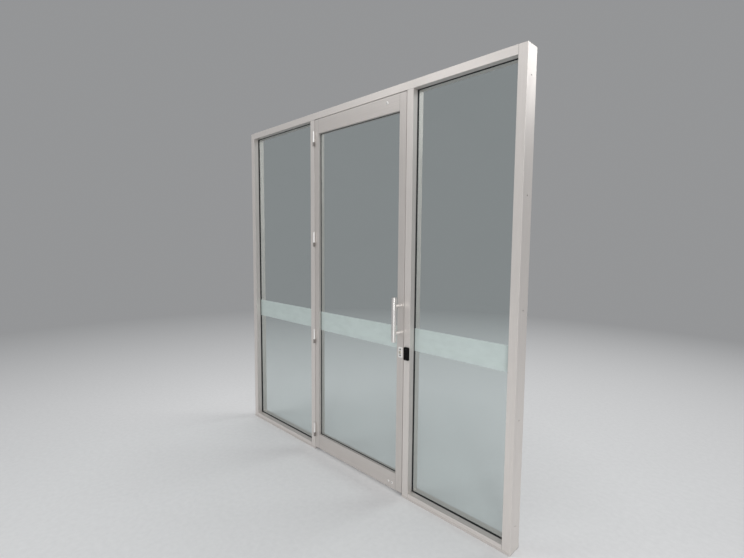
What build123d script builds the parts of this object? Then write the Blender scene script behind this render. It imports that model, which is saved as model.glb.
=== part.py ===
from build123d import *
import os

# A framed glass screen with a hinged glass door, built from aluminium extrusions.
# Millimetres, +Z up. The pieces are drawn with X = 0 at the middle of the doorway, Y = 0 at
# the front face of the frame (the door opens towards -Y) and Z = 0 at the floor. Each is
# then moved so that the origin lies under the middle of the whole piece.

# Overall sizes
HEIGHT = 2700.0
DEPTH = 102.0
FACE = 50.0
WALL = 2.0
EDGE = 0.8
DOORWAY = 946.0
LEFT_LIGHT = 861.0
RIGHT_LIGHT = 680.0
SILL_TOP = 40.0

# Glazing of the two side lights
GLASS = 6.0
FRAME_POCKET = 20.0
POCKET_DEPTH = 16.0
SILL_POCKET = 14.0
GLASS_COVER = 10.0
FRAME_BLOCK = 18.0

# Open rings that take the screws at the ends of head and sills
PORT_R = 3.8
PORT_BORE_R = 2.2
PORT_MOUTH = 2.6

# Gaskets and setting blocks
GASKET_DEEP = 8.0
GASKET_LIP = 0.9
GASKET_TAPER = 0.3
GASKET_ROUND = 0.6
GASKET_REACH = 12.0
BLOCK_LENGTH = 90.0
BLOCK_SHARES = (0.25, 0.75)

# Sub-sill tray under the side lights
TRAY = 2.0
TRAY_FRONT_LIP = 14.0
TRAY_REAR_LIP = 26.0

# Door leaf
LEAF_DEPTH = 50.0
FLOOR_GAP = 20.0
HEAD_GAP = 4.0
HINGE_GAP = 5.0
LOCK_GAP = 4.0
HINGE_STILE = 48.0
LOCK_STILE = 56.0
TOP_RAIL = 109.0
BOTTOM_RAIL = 116.0
REBATE = 16.0
FRONT_LEG = 19.0
LEAF_POCKET = 12.0
LEAF_BLOCK = 11.4
BEAD_WALL = 1.6
BEAD_REACH = 20.0

# Joints of the leaf
TIE_R = 5.0
TIE_Y = 33.0
TIE_INSET = 22.0
TIE_WASHER_R = 9.0
TIE_WASHER = 1.5
TIE_NUT_R = 8.0
TIE_NUT = 8.0
TIE_TAIL = 14.0
SPIGOT_LENGTH = 60.0
SPIGOT_WALL = 5.0
SPIGOT_PLAY = 0.3
RAIL_BOLT_R = 4.0
TOP_BOLT = (304.0, 2607.0)
LOW_BOLTS = ((350.0, 60.0), (382.0, 60.0))
TOP_BOLT_HEAD_R = 10.0
LOW_BOLT_HEAD_R = 8.0
RAIL_NUT = 3.5

# Frosted band across all three panes
BAND_LOW = 1000.0
BAND_HIGH = 1150.0
FILM = 0.3
FILM_INSET = 2.0

# Butt hinges
HINGE_COUNT = 4
HINGE_LOW = 168.0
HINGE_HIGH = 2501.0
LOW_KNUCKLE = 33.1
MIDDLE_KNUCKLE = 51.6
TOP_KNUCKLE = 28.5
KNUCKLE_R = 8.0
KNUCKLE_GAP = 0.4
KNUCKLE_ROOM = 0.5
PIN_R = 3.0
PIN_PLAY = 0.05
PIN_CAP = 2.5
PIN_CAP_R = 7.2
HINGE_PLATE = 2.4
HINGE_PLATE_EDGE = 31.0
HINGE_SCREW_Y = 16.5
HINGE_AXIS_Y = -8.5

# Pull handle
GRIP_R = 16.0
GRIP_WALL = 1.5
GRIP_LENGTH = 286.0
POST_R = 11.5
POST_SPACING = 178.0
GRIP_PROJECTION = 64.0
HANDLE_Z = 1206.0
HANDLE_BOLT_R = 4.0
HANDLE_BOLT_HEAD_R = 9.0
HANDLE_BOLT_HEAD = 5.0
POST_TAPPED = 24.0
GRIP_CAP = 2.5
GRIP_PLUG = 10.0

# Lock
LOCK_Z = 983.0
BOLT_Z = 944.0
BOLT_Y = 25.0
BACKSET = 24.0
BOLT_THICK = 14.0
BOLT_HEIGHT = 30.0
BOLT_PLAY = 0.3
PLUG_R = 6.5
KEYWAY_WIDTH = 2.0
KEYWAY_HEIGHT = 8.4
KEYWAY_DEEP = 12.0
CYLINDER_R = 10.5
CYLINDER_PROUD = 3.0
COLLAR_R = 8.5
KNOB_LENGTH = 20.0
KNOB_WIDTH = 9.0
KNOB_DEPTH = 14.0
CASE_HEIGHT = 140.0
CASE_DEPTH = 18.0
CASE_WIDTH = 34.0
CASE_BACK = 3.0
LUG_WIDTH = 22.0
LUG_HEIGHT = 176.0
LUG = 4.0
FACEPLATE = 2.0
FACEPLATE_WIDTH = 22.0
FACEPLATE_HEIGHT = 160.0
FACEPLATE_SCREW = 75.0
ESCUTCHEON_WIDTH = 34.0
REAR_PLATE_WIDTH = 28.0
ESCUTCHEON_HEIGHT = 70.0
ESCUTCHEON_DEPTH = 4.0
ESCUTCHEON_ROUND = 6.0
ESCUTCHEON_SCREW = 20.0
ESCUTCHEON_HEAD_R = 5.0
ESCUTCHEON_HEAD = 2.6
ESCUTCHEON_SHANK_R = 2.0
BEVEL = 1.0

# Strike plate
STRIKE = 1.5
STRIKE_HEIGHT = 110.0
STRIKE_WIDTH = 26.0
STRIKE_ROUND = 3.0
STRIKE_SCREW = 43.0
SLOT_ROOM = 1.0

# Reader on the lock mullion
READER_WIDTH = 42.0
READER_HEIGHT = 86.0
READER_DEPTH = 10.0
READER_Z = 983.0
READER_INSET = 2.0
READER_WALL = 1.5
READER_ROUND = 8.0
READER_LID = 2.5
READER_BASE = 2.0
READER_SCREW = 22.0
READER_SCREW_HEAD_R = 3.6

# Fixings
WALL_HOLE_R = 4.25
JAMB_HOLES = 5
JAMB_SPACING = 600.0
HEAD_HOLES = 5
HEAD_SPACING = 550.0
SILL_HOLE_INSET = 150.0
HINGE_SCREWS = 3
HINGE_SCREW_SPACING = 40.0
SCREW_R = 2.1
SCREW_TAIL = 8.0
CLEARANCE = 0.25
DOME_FLANK = 0.35

# Door stops behind the leaf
STOP_FRONT = 53.0
STOP_WIDTH = 22.0
STOP_HEIGHT = 12.0
STOP_WALL = 1.5
STOP_FLOOR_GAP = 3.0
SEAL_FRONT = 50.4
SEAL_MOUTH = 3.0
SEAL_LIP = 1.2
SEAL_GROOVE = 6.0
SEAL_GROOVE_DEEP = 2.4
SEAL_BULB = 7.0
SEAL_PLAY = 0.1

# Pocket filler over the doorway
FILLER_PLAY = 0.1
FILLER_PLATE = 1.8
FILLER_LEG = 12.0
FILLER_LEG_WALL = 1.5

# Places worked out from the sizes
DOOR_LEFT = -DOORWAY / 2
DOOR_RIGHT = DOORWAY / 2
LEFT_PANE_RIGHT = DOOR_LEFT - FACE
LEFT_PANE_LEFT = LEFT_PANE_RIGHT - LEFT_LIGHT
LEFT_END = LEFT_PANE_LEFT - FACE
RIGHT_PANE_LEFT = DOOR_RIGHT + FACE
RIGHT_PANE_RIGHT = RIGHT_PANE_LEFT + RIGHT_LIGHT
RIGHT_END = RIGHT_PANE_RIGHT + FACE
HEAD_UNDER = HEIGHT - FACE
GLASS_Y = DEPTH / 2
LEAF_LEFT = DOOR_LEFT + HINGE_GAP
LEAF_RIGHT = DOOR_RIGHT - LOCK_GAP
LEAF_TOP = HEAD_UNDER - HEAD_GAP
LIGHT_LEFT = LEAF_LEFT + HINGE_STILE
LIGHT_RIGHT = LEAF_RIGHT - LOCK_STILE
LIGHT_LOW = FLOOR_GAP + BOTTOM_RAIL
LIGHT_HIGH = LEAF_TOP - TOP_RAIL
LEAF_GLASS_Y = FRONT_LEG + LEAF_POCKET / 2
BEAD_WIDTH = LEAF_DEPTH - FRONT_LEG - LEAF_POCKET
HINGE_LENGTH = LOW_KNUCKLE + MIDDLE_KNUCKLE + TOP_KNUCKLE + 2 * KNUCKLE_GAP
HINGE_AXIS_X = DOOR_LEFT + HINGE_GAP / 2
HINGE_PITCH = (HINGE_HIGH - HINGE_LOW) / (HINGE_COUNT - 1)
HINGE_HEIGHTS = [HINGE_LOW + HINGE_PITCH * i for i in range(HINGE_COUNT)]
LOCK_X = LEAF_RIGHT - BACKSET
HANDLE_X = LEAF_RIGHT - LOCK_STILE / 2
JAMB_HOLE_HEIGHTS = [HEIGHT / 2 + JAMB_SPACING * (i - (JAMB_HOLES - 1) / 2) for i in range(JAMB_HOLES)]
HEAD_MIDDLE = (LEFT_END + RIGHT_END) / 2
READER_X = RIGHT_PANE_LEFT - READER_INSET - READER_WIDTH / 2
CASE_MIDDLE = (LOCK_Z + BOLT_Z) / 2
CASE_REAR = LEAF_RIGHT - FACEPLATE - CASE_WIDTH
FACEPLATE_LOW = CASE_MIDDLE - FACEPLATE_HEIGHT / 2
FACEPLATE_HIGH = CASE_MIDDLE + FACEPLATE_HEIGHT / 2
POST_HEIGHTS = (HANDLE_Z - POST_SPACING / 2, HANDLE_Z + POST_SPACING / 2)
GRIP_LOW = HANDLE_Z - GRIP_LENGTH / 2
GRIP_HIGH = HANDLE_Z + GRIP_LENGTH / 2
TIE_HEIGHTS = (LIGHT_LOW - REBATE - TIE_INSET, LIGHT_HIGH + REBATE + TIE_INSET)
PLATE_SCREW_HEIGHTS = (LOCK_Z - ESCUTCHEON_SCREW, LOCK_Z + ESCUTCHEON_SCREW)
FACEPLATE_SCREW_HEIGHTS = (CASE_MIDDLE - FACEPLATE_SCREW, CASE_MIDDLE + FACEPLATE_SCREW)
STRIKE_SCREW_HEIGHTS = (BOLT_Z - STRIKE_SCREW, BOLT_Z + STRIKE_SCREW)
READER_SCREW_HEIGHTS = (READER_Z - READER_SCREW, READER_Z + READER_SCREW)
MIDDLE_Y = (DEPTH + TRAY - GRIP_PROJECTION - GRIP_R) / 2

os.makedirs("parts", exist_ok=True)


# Helpers

def save(name, shape):
    """Writes one sub-part, named after its node, about the middle of the whole piece."""
    moved = [Pos(-HEAD_MIDDLE, -MIDDLE_Y, 0) * solid for solid in shape.solids()]
    export_step(group(moved), f"parts/{name}.step")


def member(section, start, end):
    """Extrudes a section from start to end, its x along the depth and its y across the face."""
    way = Vector(*end) - Vector(*start)
    plane = Plane(origin=start, x_dir=(0, 1, 0), z_dir=way.normalized())
    return extrude(plane * section, amount=way.length, dir=way.normalized())


def rod(radius, start, end):
    """A round bar between two points."""
    way = Vector(*end) - Vector(*start)
    return extrude(Plane(origin=start, z_dir=way.normalized()) * Circle(radius), amount=way.length)


def box(low, high):
    """A box given by two opposite corners."""
    size = [high[i] - low[i] for i in range(3)]
    middle = [(high[i] + low[i]) / 2 for i in range(3)]
    return Pos(*middle) * Box(*size)


def group(pieces):
    """Several separate solids as one node."""
    return Compound(children=list(pieces))


def rectangle(x0, y0, x1, y1):
    """A sketch rectangle given by two opposite corners."""
    return Pos((x0 + x1) / 2, (y0 + y1) / 2) * Rectangle(x1 - x0, y1 - y0)


def drill(shape, radius, starts, way):
    """Cuts round holes that begin at the given points and run along a vector."""
    for start in starts:
        end = [start[i] + way[i] for i in range(3)]
        shape -= rod(radius, start, end)
    return shape


def domed_head(radius, height, point, way):
    """A round head with a low flank and a dome, its flat underside at a point."""
    rise = height * (1 - DOME_FLANK)
    crown = (radius ** 2 + rise ** 2) / (2 * rise)
    plane = Plane(origin=point, z_dir=way)
    ball = plane * Pos(0, 0, height - crown) * Sphere(crown)
    return extrude(plane * Circle(radius), amount=height) & ball


def countersunk_screw(point, way, sunk, length):
    """A screw with its flat head flush at a point, the cone as deep as sunk."""
    plane = Plane(origin=point, z_dir=way)
    cone = plane * Pos(0, 0, sunk / 2) * Cone(2 * SCREW_R, SCREW_R, sunk)
    return cone + extrude(plane * Pos(0, 0, sunk / 2) * Circle(SCREW_R), amount=length - sunk / 2)


def mitred_strip(section, length, reach):
    """One length along +X, its section's y along +Z, cut to 45 degrees at both ends."""
    bar = member(section, (-reach, 0, 0), (length + reach, 0, 0))
    outline = Polygon((-reach, -reach), (length + reach, -reach), (length - reach, reach),
                      (reach, reach), align=None)
    return bar & extrude(Plane.XZ * outline, amount=-DEPTH)


def mitred_frame(section, x0, z0, x1, z1, reach):
    """Four mitred lengths round an opening, each a quarter turn from the last."""
    across = mitred_strip(section, x1 - x0, reach)
    upright = mitred_strip(section, z1 - z0, reach)
    return group([
        Pos(x0, 0, z0) * across,
        Pos(x1, 0, z0) * Rot(0, -90, 0) * upright,
        Pos(x1, 0, z1) * Rot(0, 180, 0) * across,
        Pos(x0, 0, z1) * Rot(0, 90, 0) * upright,
    ])


# Extruded sections of the frame

def screw_port(x, y, turn):
    """An open ring inside a section, for the screws that enter its end."""
    ring = Circle(PORT_R) - Circle(PORT_BORE_R) - rectangle(0, -PORT_MOUTH / 2, 2 * PORT_R, PORT_MOUTH / 2)
    return Pos(x, y) * Rot(0, 0, turn) * ring


def framing_section(face, pocket_depth):
    """Front and rear chambers joined by a web behind the glazing pocket."""
    half = FRAME_POCKET / 2
    floor = face - pocket_depth
    outer = Pos(DEPTH / 2, face / 2) * RectangleRounded(DEPTH, face, EDGE)
    pocket = rectangle(GLASS_Y - half, floor, GLASS_Y + half, face + WALL)
    inner = rectangle(WALL, WALL, DEPTH - WALL, face - WALL)
    round_pocket = rectangle(GLASS_Y - half - WALL, floor - WALL, GLASS_Y + half + WALL, face + WALL)
    return outer - pocket - (inner - round_pocket)


def framing_section_with_ports(face, pocket_depth):
    """The same section with a screw port on its front and rear walls."""
    inset = WALL / 2 + PORT_R
    section = framing_section(face, pocket_depth)
    return section + screw_port(inset, face / 2, 0) + screw_port(DEPTH - inset, face / 2, 180)


def tray_section():
    """The sub-sill: a channel with a low front lip and a higher rear lip."""
    outer = rectangle(-TRAY, 0, DEPTH + TRAY, TRAY_REAR_LIP)
    inside = rectangle(0, TRAY, DEPTH, TRAY_REAR_LIP + TRAY)
    over_lip = rectangle(-2 * TRAY, TRAY_FRONT_LIP, DEPTH / 2, TRAY_REAR_LIP + TRAY)
    return outer - inside - over_lip


def stop_section():
    """A hollow door stop with a keyed groove for the seal in its front face."""
    middle = STOP_HEIGHT / 2
    groove_end = STOP_FRONT + SEAL_LIP + SEAL_GROOVE_DEEP
    outer = rectangle(STOP_FRONT, 0, STOP_FRONT + STOP_WIDTH, STOP_HEIGHT)
    inner = rectangle(groove_end + STOP_WALL, STOP_WALL,
                      STOP_FRONT + STOP_WIDTH - STOP_WALL, STOP_HEIGHT - STOP_WALL)
    mouth = rectangle(STOP_FRONT - SEAL_LIP, middle - SEAL_MOUTH / 2,
                      STOP_FRONT + SEAL_LIP, middle + SEAL_MOUTH / 2)
    groove = rectangle(STOP_FRONT + SEAL_LIP, middle - SEAL_GROOVE / 2, groove_end, middle + SEAL_GROOVE / 2)
    return outer - inner - mouth - groove


def seal_section():
    """A bulb seal whose foot is keyed into the stop and whose front meets the leaf."""
    middle = STOP_HEIGHT / 2
    foot_half = SEAL_GROOVE / 2 - SEAL_PLAY
    neck_half = SEAL_MOUTH / 2 - SEAL_PLAY
    groove_end = STOP_FRONT + SEAL_LIP + SEAL_GROOVE_DEEP
    foot = rectangle(STOP_FRONT + SEAL_LIP, middle - foot_half, groove_end, middle + foot_half)
    neck = rectangle(STOP_FRONT - SEAL_LIP, middle - neck_half, STOP_FRONT + SEAL_LIP, middle + neck_half)
    bulb = rectangle(SEAL_FRONT, middle - SEAL_BULB / 2, STOP_FRONT, middle + SEAL_BULB / 2)
    bulb = fillet(bulb.vertices().sort_by(Axis.X)[:2], 1.2)
    return foot + neck + bulb


# Extruded sections of the leaf

def leaf_section(width):
    """A tube with a front leg and, behind that leg, a rebate for glass and bead."""
    step = width - REBATE
    outer = rectangle(0, 0, LEAF_DEPTH, step) + rectangle(0, step - WALL, FRONT_LEG, width)
    corners = [v for v in outer.vertices() if v.Y < WALL or v.Y > width - WALL]
    outer = fillet(corners, EDGE)
    inner = rectangle(WALL, WALL, LEAF_DEPTH - WALL, step - WALL)
    inner += rectangle(WALL, step - 2 * WALL, FRONT_LEG - WALL, width - WALL)
    return outer - inner


def bead_section():
    """A hollow glazing bead standing in the rebate, rounded at its sight line."""
    x0 = LEAF_DEPTH - BEAD_WIDTH
    outer = rectangle(x0, -REBATE, LEAF_DEPTH, 0)
    outer = fillet(outer.vertices().sort_by(Axis.Y)[-2:], EDGE)
    inner = rectangle(x0 + BEAD_WALL, BEAD_WALL - REBATE, LEAF_DEPTH - BEAD_WALL, -BEAD_WALL)
    return outer - inner


def gasket_section(glass_side, pocket_side):
    """A wedge from glass to pocket wall, with a lip that stands above the sight line."""
    foot = pocket_side + (glass_side - pocket_side) * GASKET_TAPER
    wedge = Polygon((glass_side, -GASKET_DEEP), (foot, -GASKET_DEEP), (pocket_side, GASKET_LIP),
                    (glass_side, GASKET_LIP), align=None)
    return fillet(wedge.vertices().sort_by(Axis.Y)[-2:], GASKET_ROUND)


# Frame

def left_jamb():
    section = framing_section(FACE, POCKET_DEPTH)
    jamb = member(section, (LEFT_END, 0, HEIGHT), (LEFT_END, 0, TRAY))
    starts = [(LEFT_END - WALL, GLASS_Y, z) for z in JAMB_HOLE_HEIGHTS]
    return drill(jamb, WALL_HOLE_R, starts, (FACE, 0, 0))


def right_jamb():
    section = framing_section(FACE, POCKET_DEPTH)
    jamb = member(section, (RIGHT_END, 0, TRAY), (RIGHT_END, 0, HEIGHT))
    starts = [(RIGHT_END + WALL, GLASS_Y, z) for z in JAMB_HOLE_HEIGHTS]
    return drill(jamb, WALL_HOLE_R, starts, (-FACE, 0, 0))


def hinge_screw_heights(middle):
    """Heights of the screws in one hinge."""
    return [middle + HINGE_SCREW_SPACING * (i - (HINGE_SCREWS - 1) / 2) for i in range(HINGE_SCREWS)]


def hinge_screw_points(x):
    """Places of all the hinge screws on a face at x."""
    return [(x, HINGE_SCREW_Y, z) for middle in HINGE_HEIGHTS for z in hinge_screw_heights(middle)]


def hinge_mullion():
    section = framing_section(FACE, POCKET_DEPTH)
    mullion = member(section, (DOOR_LEFT, 0, TRAY), (DOOR_LEFT, 0, HEAD_UNDER))
    return drill(mullion, SCREW_R, hinge_screw_points(DOOR_LEFT + WALL), (-2 * WALL, 0, 0))


def lock_mullion():
    """Slotted for the bolt and drilled for the strike plate and the reader."""
    section = framing_section(FACE, POCKET_DEPTH)
    mullion = member(section, (DOOR_RIGHT, 0, HEAD_UNDER), (DOOR_RIGHT, 0, TRAY))
    half_y = BOLT_THICK / 2 + 2 * SLOT_ROOM
    half_z = BOLT_HEIGHT / 2 + 2 * SLOT_ROOM
    mullion -= box((DOOR_RIGHT - WALL, BOLT_Y - half_y, BOLT_Z - half_z),
                   (DOOR_RIGHT + 2 * WALL, BOLT_Y + half_y, BOLT_Z + half_z))
    strike = [(DOOR_RIGHT - WALL, BOLT_Y, z) for z in STRIKE_SCREW_HEIGHTS]
    mullion = drill(mullion, SCREW_R, strike, (3 * WALL, 0, 0))
    reader = [(READER_X, -WALL, z) for z in READER_SCREW_HEIGHTS]
    return drill(mullion, SCREW_R, reader, (0, 3 * WALL, 0))


def head():
    """Runs between the jambs, over both mullions."""
    section = framing_section_with_ports(FACE, POCKET_DEPTH)
    bar = member(section, (RIGHT_PANE_RIGHT, 0, HEIGHT), (LEFT_PANE_LEFT, 0, HEIGHT))
    steps = [HEAD_SPACING * (i - (HEAD_HOLES - 1) / 2) for i in range(HEAD_HOLES)]
    return drill(bar, WALL_HOLE_R, [(HEAD_MIDDLE + step, GLASS_Y, HEIGHT + WALL) for step in steps],
                 (0, 0, -FACE))


def floor_fixings(shape, x0, x1):
    """Drills the floor fixings of a side light that lies between x0 and x1."""
    starts = [(x, GLASS_Y, -TRAY) for x in (x0 + SILL_HOLE_INSET, x1 - SILL_HOLE_INSET)]
    return drill(shape, WALL_HOLE_R, starts, (0, 0, SILL_TOP))


def sill(x0, x1):
    section = framing_section_with_ports(SILL_TOP - TRAY, SILL_POCKET)
    return floor_fixings(member(section, (x0, 0, TRAY), (x1, 0, TRAY)), x0, x1)


def left_subsill():
    tray = member(tray_section(), (LEFT_END, 0, 0), (DOOR_LEFT, 0, 0))
    return floor_fixings(tray, LEFT_PANE_LEFT, LEFT_PANE_RIGHT)


def right_subsill():
    tray = member(tray_section(), (DOOR_RIGHT, 0, 0), (RIGHT_END, 0, 0))
    return floor_fixings(tray, RIGHT_PANE_LEFT, RIGHT_PANE_RIGHT)


def head_filler():
    """Closes the head's pocket over the doorway, flush with the head's underside."""
    half = FRAME_POCKET / 2 - FILLER_PLAY
    section = rectangle(GLASS_Y - half, 0, GLASS_Y + half, FILLER_PLATE)
    section += rectangle(GLASS_Y - half, 0, GLASS_Y - half + FILLER_LEG_WALL, FILLER_LEG)
    section += rectangle(GLASS_Y + half - FILLER_LEG_WALL, 0, GLASS_Y + half, FILLER_LEG)
    return member(section, (DOOR_LEFT, 0, HEAD_UNDER), (DOOR_RIGHT, 0, HEAD_UNDER))


def round_doorway(section):
    """A section along the hinge side, the head and the lock side of the doorway."""
    hinge_side = member(section, (DOOR_LEFT, 0, HEAD_UNDER), (DOOR_LEFT, 0, STOP_FLOOR_GAP))
    across = member(section, (DOOR_RIGHT - STOP_HEIGHT, 0, HEAD_UNDER),
                    (DOOR_LEFT + STOP_HEIGHT, 0, HEAD_UNDER))
    lock_side = member(section, (DOOR_RIGHT, 0, STOP_FLOOR_GAP), (DOOR_RIGHT, 0, HEAD_UNDER))
    return hinge_side, across, lock_side


# Side lights

def pane(x0, z0, x1, z1, y):
    """A sheet of glass that reaches behind the sight lines on all four sides."""
    return box((x0 - GLASS_COVER, y - GLASS / 2, z0 - GLASS_COVER),
               (x1 + GLASS_COVER, y + GLASS / 2, z1 + GLASS_COVER))


def light_gaskets(side):
    """The four lengths round each of the two panes: side -1 in front, 1 behind."""
    section = gasket_section(GLASS_Y + side * GLASS / 2, GLASS_Y + side * FRAME_POCKET / 2)
    strips = []
    for x0, x1 in ((LEFT_PANE_LEFT, LEFT_PANE_RIGHT), (RIGHT_PANE_LEFT, RIGHT_PANE_RIGHT)):
        strips += mitred_frame(section, x0, SILL_TOP, x1, HEAD_UNDER, GASKET_REACH).solids()
    return group(strips)


def setting_blocks(x0, x1, y, floor, top, thick):
    """Two blocks that carry a pane's lower edge."""
    blocks = []
    for share in BLOCK_SHARES:
        x = x0 + (x1 - x0) * share
        blocks.append(box((x - BLOCK_LENGTH / 2, y - thick / 2, floor),
                          (x + BLOCK_LENGTH / 2, y + thick / 2, top)))
    return blocks


def film(x0, x1, y):
    """A strip of frosted film on a pane's front face at y, between its gaskets."""
    return box((x0 + FILM_INSET, y - FILM, BAND_LOW), (x1 - FILM_INSET, y, BAND_HIGH))


# Leaf

def hinge_stile():
    """Drilled for the hinge screws and for the tie rods."""
    stile = member(leaf_section(HINGE_STILE), (LEAF_LEFT, 0, LEAF_TOP), (LEAF_LEFT, 0, FLOOR_GAP))
    stile = drill(stile, SCREW_R, hinge_screw_points(LEAF_LEFT - WALL), (3 * WALL, 0, 0))
    rods = [(LEAF_LEFT + 2 * WALL, TIE_Y, z) for z in TIE_HEIGHTS]
    return drill(stile, TIE_R + CLEARANCE, rods, (HINGE_STILE, 0, 0))


def lock_stile():
    """Cut for the faceplate and drilled for cylinder, turn, lock screws, handle and tie rods."""
    stile = member(leaf_section(LOCK_STILE), (LEAF_RIGHT, 0, FLOOR_GAP), (LEAF_RIGHT, 0, LEAF_TOP))
    stile -= faceplate_blank()
    middle = LEAF_DEPTH / 2
    through = (0, 2 * LEAF_DEPTH, 0)
    stile = drill(stile, CYLINDER_R + CLEARANCE, [(LOCK_X, -middle, LOCK_Z)], (0, LEAF_DEPTH, 0))
    stile = drill(stile, PLUG_R + BOLT_PLAY, [(LOCK_X, middle, LOCK_Z)], (0, LEAF_DEPTH, 0))
    screws = [(LOCK_X, -middle, z) for z in PLATE_SCREW_HEIGHTS]
    stile = drill(stile, ESCUTCHEON_SHANK_R + CLEARANCE, screws, through)
    posts = [(HANDLE_X, -middle, z) for z in POST_HEIGHTS]
    stile = drill(stile, HANDLE_BOLT_R + CLEARANCE, posts, through)
    rods = [(LEAF_RIGHT - 2 * WALL, TIE_Y, z) for z in TIE_HEIGHTS]
    return drill(stile, TIE_R + CLEARANCE, rods, (-LOCK_STILE, 0, 0))


def rail(width, edge, up):
    """A rail whose tube runs on into the stiles' rebates, while its front leg stops short."""
    x0 = LIGHT_LEFT - REBATE
    x1 = LIGHT_RIGHT + REBATE
    if up:
        bar = member(leaf_section(width), (x0, 0, edge), (x1, 0, edge))
    else:
        bar = member(leaf_section(width), (x1, 0, edge), (x0, 0, edge))
    bar -= box((x0 - WALL, -WALL, edge - width), (LIGHT_LEFT, FRONT_LEG, edge + width))
    return bar - box((LIGHT_RIGHT, -WALL, edge - width), (x1 + WALL, FRONT_LEG, edge + width))


def rail_with_bolts(width, edge, up, bolts):
    """A rail drilled from front to rear for its bolts."""
    starts = [(x, -WALL, z) for x, z in bolts]
    return drill(rail(width, edge, up), RAIL_BOLT_R + CLEARANCE, starts, (0, LEAF_DEPTH + 2 * WALL, 0))


def tie_rod(z):
    """A threaded rod with a washer and a nut inside each stile."""
    x0 = LIGHT_LEFT - REBATE - WALL
    x1 = LIGHT_RIGHT + REBATE + WALL
    piece = rod(TIE_R, (x0 - TIE_TAIL, TIE_Y, z), (x1 + TIE_TAIL, TIE_Y, z))
    for face, way in ((x0, -1), (x1, 1)):
        bearing = face + way * TIE_WASHER
        piece += rod(TIE_WASHER_R, (face, TIE_Y, z), (bearing, TIE_Y, z))
        nut = Plane(origin=(bearing, TIE_Y, z), z_dir=(way, 0, 0)) * RegularPolygon(TIE_NUT_R, 6)
        piece += extrude(nut, amount=TIE_NUT)
    return piece


def spigot(x0, low, high):
    """A short hollow block inside a rail's tube."""
    y0 = FRONT_LEG + SPIGOT_PLAY
    y1 = LEAF_DEPTH - WALL - SPIGOT_PLAY
    block = box((x0, y0, low), (x0 + SPIGOT_LENGTH, y1, high))
    return block - box((x0 - WALL, y0 + SPIGOT_WALL, low + SPIGOT_WALL),
                       (x0 + SPIGOT_LENGTH + WALL, y1 - SPIGOT_WALL, high - SPIGOT_WALL))


def corner_spigots():
    """Blocks against the stiles that carry the ends of both rails, drilled for the lower bolts."""
    wall = WALL + SPIGOT_PLAY
    bottom = (FLOOR_GAP + wall, LIGHT_LOW - REBATE - wall)
    top = (LIGHT_HIGH + REBATE + wall, LEAF_TOP - wall)
    ends = (LIGHT_LEFT - REBATE, LIGHT_RIGHT + REBATE - SPIGOT_LENGTH)
    blocks = [spigot(x, low, high) for x in ends for low, high in (bottom, top)]
    starts = [(x, 0, z) for x, z in LOW_BOLTS]
    return group([drill(block, RAIL_BOLT_R + CLEARANCE, starts, (0, LEAF_DEPTH, 0)) for block in blocks])


def leaf_gaskets(side):
    """The four lengths round the leaf's pane: side -1 in front, 1 behind."""
    section = gasket_section(LEAF_GLASS_Y + side * GLASS / 2, LEAF_GLASS_Y + side * LEAF_POCKET / 2)
    return mitred_frame(section, LIGHT_LEFT, LIGHT_LOW, LIGHT_RIGHT, LIGHT_HIGH, GASKET_REACH)


def leaf_beads():
    return mitred_frame(bead_section(), LIGHT_LEFT, LIGHT_LOW, LIGHT_RIGHT, LIGHT_HIGH, BEAD_REACH)


def rail_bolt(place, head_r):
    """A bolt through a rail with a domed head in front and a domed nut behind."""
    x, z = place
    shank = rod(RAIL_BOLT_R, (x, 0, z), (x, LEAF_DEPTH, z))
    front = domed_head(head_r, head_r / 2, (x, 0, z), (0, -1, 0))
    return shank + front + domed_head(LOW_BOLT_HEAD_R, RAIL_NUT, (x, LEAF_DEPTH, z), (0, 1, 0))


# Hinges

def knuckle_spans(middle):
    """Lower and upper end of each knuckle, from the lowest up."""
    low = middle - HINGE_LENGTH / 2
    spans = []
    for length in (LOW_KNUCKLE, MIDDLE_KNUCKLE, TOP_KNUCKLE):
        spans.append((low, low + length))
        low += length + KNUCKLE_GAP
    return spans


def hinge_plate_face(side):
    """Where a hinge leaf's visible face lies: side -1 is the frame's, 1 the door's."""
    return HINGE_AXIS_X + side * (HINGE_GAP / 2 - HINGE_PLATE)


def hinge_leaf(middle, side):
    """A plate with its knuckles, bored for the pin and sunk for the screws.

    The frame's leaf has the outer two knuckles and the door's leaf the middle one."""
    face = hinge_plate_face(side)
    back = HINGE_AXIS_X + side * HINGE_GAP / 2
    low = middle - HINGE_LENGTH / 2
    high = middle + HINGE_LENGTH / 2
    leaf = box((min(face, back), HINGE_AXIS_Y + PIN_R, low), (max(face, back), HINGE_PLATE_EDGE, high))
    for index, (z0, z1) in enumerate(knuckle_spans(middle)):
        own = (index != 1) == (side < 0)
        if own:
            leaf += rod(KNUCKLE_R, (HINGE_AXIS_X, HINGE_AXIS_Y, z0), (HINGE_AXIS_X, HINGE_AXIS_Y, z1))
        else:
            leaf -= rod(KNUCKLE_R + KNUCKLE_ROOM, (HINGE_AXIS_X, HINGE_AXIS_Y, z0 - KNUCKLE_GAP),
                        (HINGE_AXIS_X, HINGE_AXIS_Y, z1 + KNUCKLE_GAP))
    leaf -= rod(PIN_R + PIN_PLAY, (HINGE_AXIS_X, HINGE_AXIS_Y, low - WALL),
                (HINGE_AXIS_X, HINGE_AXIS_Y, high + WALL))
    for z in hinge_screw_heights(middle):
        leaf -= countersunk_screw((face, HINGE_SCREW_Y, z), (side, 0, 0), HINGE_PLATE - EDGE, SCREW_TAIL)
    return leaf


def hinge_screws(side):
    """All the screws of one side's hinge leaves."""
    return [countersunk_screw(point, (side, 0, 0), HINGE_PLATE - EDGE, SCREW_TAIL)
            for point in hinge_screw_points(hinge_plate_face(side))]


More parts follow.
